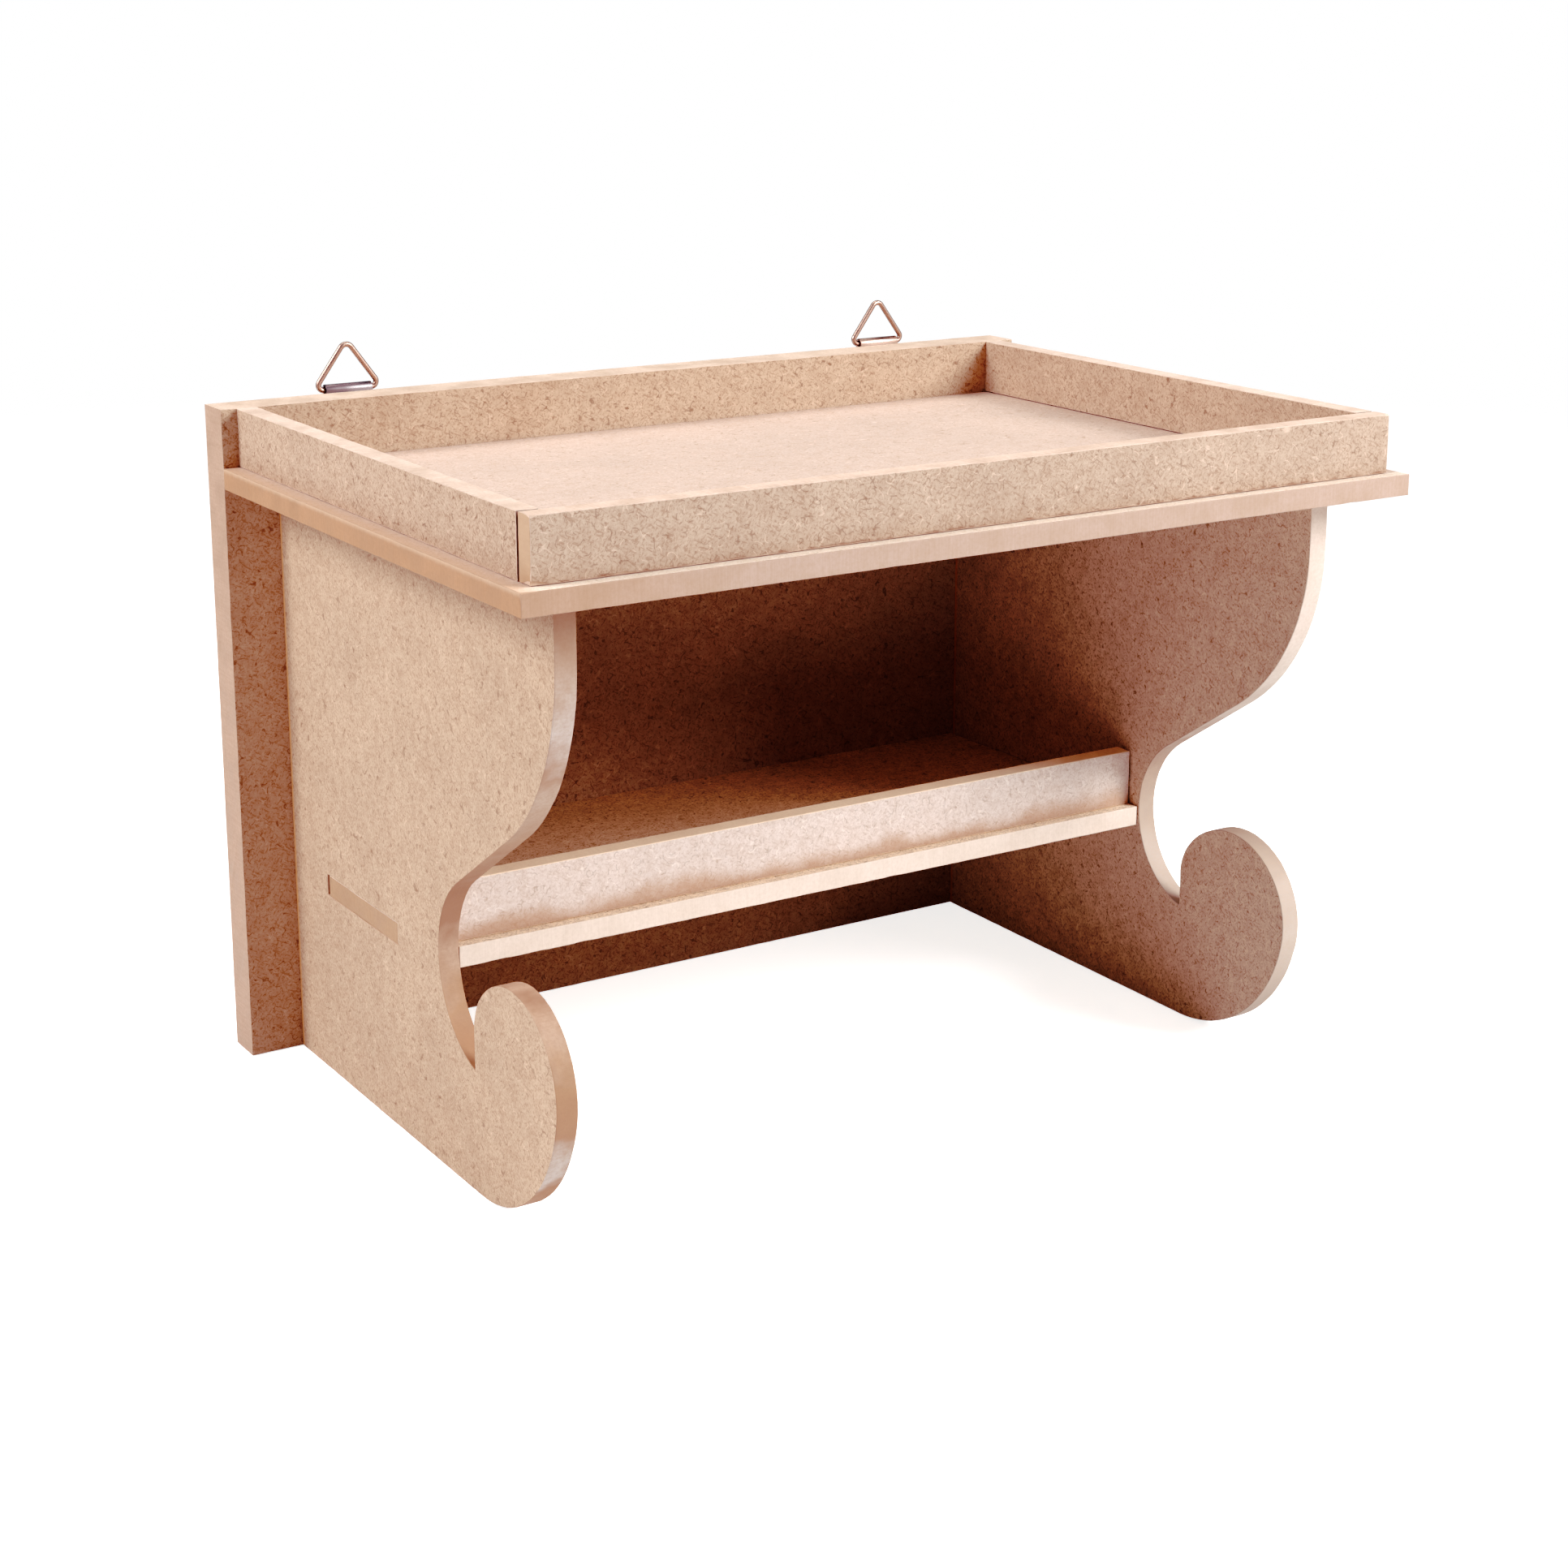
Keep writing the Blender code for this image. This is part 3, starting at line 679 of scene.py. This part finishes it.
SHEET = 0.00046
OUTSIDE = 0.00025  # half the sheet, and a hair of room
FOLD_RADIUS = 0.00118  # middle of the sheet round the wire
LEAF_STEP = 0.0005  # from one leaf to the other
UNDER_RADIUS = 0.0008  # where the rear leaf turns down beside the front one
strap_plates = {
    "left": plated("left_strap_plate", (0.27, 0.23, 0.225), 0.34, (0.15, 0.12, 0.12)),
    "right": plated("right_strap_plate", (0.55, 0.39, 0.31), 0.3, (0.38, 0.26, 0.20)),
}
for side in ("left", "right"):
    low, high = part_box(side + "_hanger_strap")
    axis = Vector((
        (low.x + high.x) / 2,
        high.y - FOLD_RADIUS - OUTSIDE,
        high.z - FOLD_RADIUS - OUTSIDE,
    ))
    half = (high.x - low.x) / 2
    drop = axis.z - low.z - half
    strip = bmesh.new()
    front = axis.y - FOLD_RADIUS
    ends = [strip.verts.new((axis.x + half * s, front, axis.z)) for s in (-1, 1)]
    first = strip.edges.new(ends)
    rear = front + LEAF_STEP
    under_y = rear + UNDER_RADIUS
    under_z = axis.z - math.sqrt((FOLD_RADIUS + UNDER_RADIUS) ** 2 - (under_y - axis.y) ** 2)
    lean = math.atan2(under_y - axis.y, axis.z - under_z)
    last = spun(strip, [first], axis, (-1, 0, 0), math.radians(270) - lean, 22)
    last = spun(strip, last, (axis.x, under_y, under_z), (1, 0, 0), math.radians(90) - lean, 6)
    leaf(strip, last, under_z - axis.z + drop, half, axis.x)
    leaf(strip, [first], drop, half, axis.x)
    bmesh.ops.remove_doubles(strip, verts=strip.verts, dist=1e-7)
    strap = finished(
        f"{side}_strap_strip", strip, strap_plates[side], "shelf", f"{side}_hanger_strap",
    )
    sheet_metal = strap.modifiers.new("sheet", "SOLIDIFY")
    sheet_metal.thickness = SHEET
    sheet_metal.offset = 0.0
    rounded = strap.modifiers.new("rounded", "BEVEL")
    rounded.width = 0.00008
    rounded.segments = 2
    rounded.limit_method = "ANGLE"

# Hanger rings: closed triangles of copper-plated steel wire, bent round three corners. The foot
# turns in the strap's fold, so each ring swings about it.
ring_plate = plated("ring_plate", (0.50, 0.34, 0.265), 0.34, (0.34, 0.23, 0.18))
WIRE_RADIUS = 0.00068
FOOT_BEND = 0.0013
TOP_BEND = 0.0017
SLOPE = math.radians(53.8)
for side in ("left", "right"):
    low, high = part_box(side + "_hanger_ring")
    middle = (low + high) / 2
    foot_z = low.z + WIRE_RADIUS
    straight = (high.x - low.x) / 2 - WIRE_RADIUS - FOOT_BEND  # half the foot, up to its bends
    corner = straight + FOOT_BEND / math.tan(SLOPE / 2)
    top_z = foot_z + corner * math.tan(SLOPE) - TOP_BEND / math.cos(SLOPE)
    bends = (
        (Vector((middle.x - straight, middle.y, foot_z + FOOT_BEND)), math.pi - SLOPE, FOOT_BEND),
        (Vector((middle.x, middle.y, top_z)), 2 * SLOPE, TOP_BEND),
        (Vector((middle.x + straight, middle.y, foot_z + FOOT_BEND)), math.pi - SLOPE, FOOT_BEND),
    )
    wire = bmesh.new()
    bmesh.ops.create_circle(
        wire, cap_ends=False, radius=WIRE_RADIUS, segments=20,
        matrix=Matrix.Translation((middle.x + straight, middle.y, foot_z))
        @ Matrix.Rotation(math.pi / 2, 4, "Y"),
    )
    edges = list(wire.edges)
    heading = Vector((-1, 0, 0))
    at = Vector((middle.x + straight, middle.y, foot_z))
    for centre, turn, radius in bends:
        away = Vector((heading.z, 0, -heading.x))
        start = centre - away * radius
        edges = pulled(wire, edges, start - at)
        edges = spun(wire, edges, centre, (0, 1, 0), turn, 12)
        spin = Matrix.Rotation(turn, 3, "Y")
        heading = spin @ heading
        at = centre + spin @ (start - centre)
    bmesh.ops.remove_doubles(wire, verts=wire.verts, dist=2e-6)
    finished(
        f"{side}_ring_wire", wire, ring_plate, f"{side}_ring", f"{side}_hanger_ring",
        soft_angle=60,
    )

# Hanger screws: small zinc-plated screws with a low dome head and a cross recess, one through
# each strap into the panel's rear.
screw_plate = plated("screw_plate", (0.62, 0.58, 0.54), 0.25, (0.35, 0.31, 0.28))
DOME_RISE = 0.0016
DOME_STEPS = 10
SHANK_RADIUS = 0.0012
POINT = 0.003  # length of the tapered point
CROSS_LENGTH = 0.0026
CROSS_WIDTH = 0.0006
CROSS_DEPTH = 0.002  # half of it stands clear of the head
CROSS_TAPER = 0.45
CROSS_SINK = 0.0001
for side in ("left", "right"):
    low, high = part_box(side + "_hanger_screw")
    centre = Vector(((low.x + high.x) / 2, high.y, (low.z + high.z) / 2))
    head = (high.x - low.x) / 2
    dome = bmesh.new()
    last = None
    for i in range(DOME_STEPS + 1):
        turn = math.pi / 2 * i / DOME_STEPS
        out = head * math.sin(turn)
        back = DOME_RISE * (1 - math.cos(turn))
        vert = dome.verts.new(centre + Vector((out, -back, 0)))
        if last:
            dome.edges.new((last, vert))
        last = vert
    length = high.y - low.y
    for out, back in ((SHANK_RADIUS, DOME_RISE), (SHANK_RADIUS, length - POINT), (0.0, length)):
        vert = dome.verts.new(centre + Vector((out, -back, 0)))
        dome.edges.new((last, vert))
        last = vert
    bmesh.ops.spin(
        dome, geom=list(dome.verts) + list(dome.edges), cent=centre, axis=(0, 1, 0),
        dvec=(0, 0, 0), angle=2 * math.pi, steps=48, use_merge=True,
    )
    bmesh.ops.remove_doubles(dome, verts=dome.verts, dist=1e-6)
    screw = finished(
        f"{side}_screw_dome", dome, screw_plate, "shelf", f"{side}_hanger_screw"
    )
    cross = bmesh.new()
    for size in (
        (CROSS_LENGTH, CROSS_DEPTH, CROSS_WIDTH), (CROSS_WIDTH, CROSS_DEPTH, CROSS_LENGTH)
    ):
        arm = bmesh.ops.create_cube(cross, size=1.0)["verts"]
        bmesh.ops.scale(cross, vec=size, verts=arm)
        for vert in arm:
            if vert.co.y < 0:
                vert.co.x *= CROSS_TAPER
                vert.co.z *= CROSS_TAPER
    bmesh.ops.translate(cross, vec=centre - Vector((0, CROSS_SINK, 0)), verts=cross.verts)
    cutter_mesh = bpy.data.meshes.new("cross_recess")
    cross.to_mesh(cutter_mesh)
    cross.free()
    cutter = bpy.data.objects.new("cross_recess", cutter_mesh)
    recess = screw.modifiers.new("recess", "BOOLEAN")
    recess.object = cutter
    recess.operation = "DIFFERENCE"
    recess.use_self = True
    bpy.context.view_layer.update()
    graph = bpy.context.evaluated_depsgraph_get()
    cut = bpy.data.meshes.new_from_object(screw.evaluated_get(graph))
    screw.modifiers.clear()
    screw.data = cut
    bpy.data.objects.remove(cutter)
